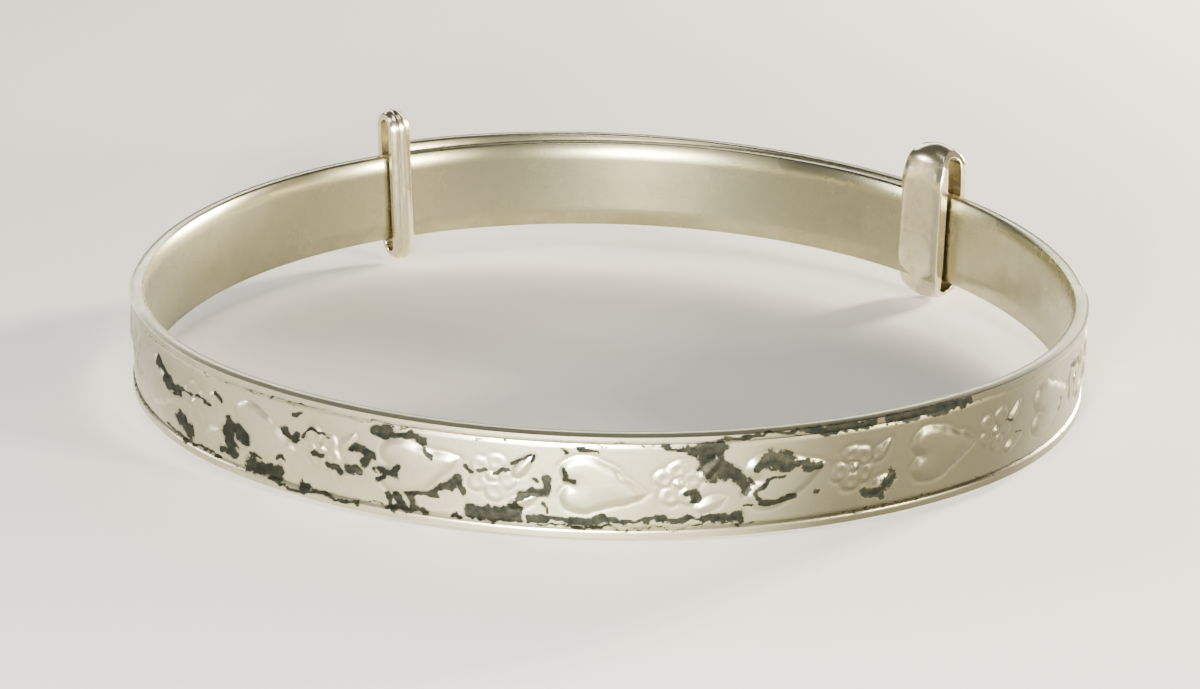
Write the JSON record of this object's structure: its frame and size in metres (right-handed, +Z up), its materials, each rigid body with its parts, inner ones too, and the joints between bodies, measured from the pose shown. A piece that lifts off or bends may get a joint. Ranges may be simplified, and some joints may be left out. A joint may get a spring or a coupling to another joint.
{
  "type": "expanding bangle bracelet",
  "caption": "Slim oval bangle: a patterned front strip whose plain ends lap at the back and slide through two upright oval collars, so the loop opens to pass over a hand.",
  "frame": {"origin": "centre of the loop's box in plan, at the level of the collars' lowest points", "axes": "+X across the loop, +Y to the back where the ends lap, +Z up along the loop's axis"},
  "size_m": [0.0502, 0.0474, 0.0095],
  "materials": {
    "patterned_silver": "embossed, polished high spots, dark tarnish in the low ones",
    "plain_silver": "plain rolled silver, lightly tarnished and cloudy",
    "collar_silver": "polished"
  },
  "bodies": {
    "front": {"front_band": "patterned_silver"},
    "left_arm": {"left_strap": "plain_silver", "right_collar": "collar_silver"},
    "right_arm": {"right_strap": "plain_silver", "left_collar": "collar_silver"}
  },
  "joints": [
    {"name": "left_hinge", "type": "hinge", "parent": "front", "child": "left_arm", "pos_m": [-0.02458, 0.00043, 0.00405], "axis": [0, 0, 1], "range_deg": [0, 12]},
    {"name": "right_hinge", "type": "hinge", "parent": "front", "child": "right_arm", "pos_m": [0.02458, 0.00043, 0.00405], "axis": [0, 0, 1], "range_deg": [-11.6, 0]}
  ],
  "couplings": [
    {"joint": "right_hinge", "follows": "left_hinge", "ratio": -0.96588}
  ]
}
